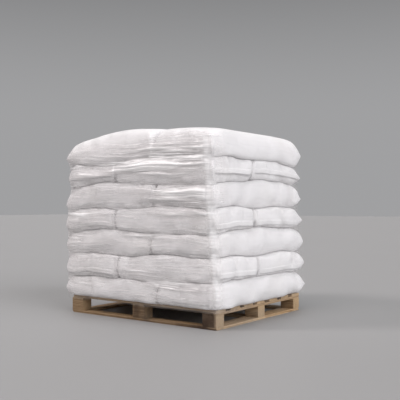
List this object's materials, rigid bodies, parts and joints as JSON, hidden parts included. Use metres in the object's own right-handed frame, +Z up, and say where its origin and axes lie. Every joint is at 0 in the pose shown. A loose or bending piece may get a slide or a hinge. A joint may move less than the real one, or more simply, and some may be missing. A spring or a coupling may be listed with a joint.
{
  "type": "pallet of sacks",
  "caption": "Filled white woven sacks in interlocked layers on a wooden four-way block pallet, wrapped in clear stretch film, with fork openings on all sides.",
  "frame": {"origin": "on the floor under the middle of the object, which is also the middle of the pallet", "axes": "+X along the pallet's 1200 mm side, +Y along its 1000 mm side, +Z up"},
  "size_m": [1.3032, 1.0832, 1.232],
  "materials": {
    "board_wood": "rough sawn softwood boards, weathered, with knots and dirt",
    "block_wood": "rough sawn softwood blocks, weathered, darker than the boards",
    "woven_sack": "white woven polypropylene tape cloth, unprinted, satin",
    "stretch_film": "clear glossy stretch film with fine stretch lines"
  },
  "bodies": {
    "root": {"bottom_runner_1": "board_wood", "bottom_runner_2": "board_wood", "bottom_runner_3": "board_wood", "bottom_filler_1": "board_wood", "bottom_filler_2": "board_wood", "bottom_filler_3": "board_wood", "bottom_filler_4": "board_wood", "block_1": "block_wood", "block_2": "block_wood", "block_3": "block_wood", "block_4": "block_wood", "block_5": "block_wood", "block_6": "block_wood", "block_7": "block_wood", "block_8": "block_wood", "block_9": "block_wood", "stringer_board_1": "board_wood", "stringer_board_2": "board_wood", "stringer_board_3": "board_wood", "deck_board_1": "board_wood", "deck_board_2": "board_wood", "deck_board_3": "board_wood", "deck_board_4": "board_wood", "deck_board_5": "board_wood", "deck_board_6": "board_wood", "deck_board_7": "board_wood", "sack_layer1_cross": "woven_sack", "sack_layer1_front": "woven_sack", "sack_layer1_back": "woven_sack", "sack_layer2_cross": "woven_sack", "sack_layer2_front": "woven_sack", "sack_layer2_back": "woven_sack", "sack_layer3_cross": "woven_sack", "sack_layer3_front": "woven_sack", "sack_layer3_back": "woven_sack", "sack_layer4_cross": "woven_sack", "sack_layer4_front": "woven_sack", "sack_layer4_back": "woven_sack", "sack_layer5_cross": "woven_sack", "sack_layer5_front": "woven_sack", "sack_layer5_back": "woven_sack", "sack_layer6_cross": "woven_sack", "sack_layer6_front": "woven_sack", "sack_layer6_back": "woven_sack", "sack_layer7_cross": "woven_sack", "sack_layer7_front": "woven_sack", "sack_layer7_back": "woven_sack", "stretch_film": "stretch_film"}
  },
  "joints": []
}
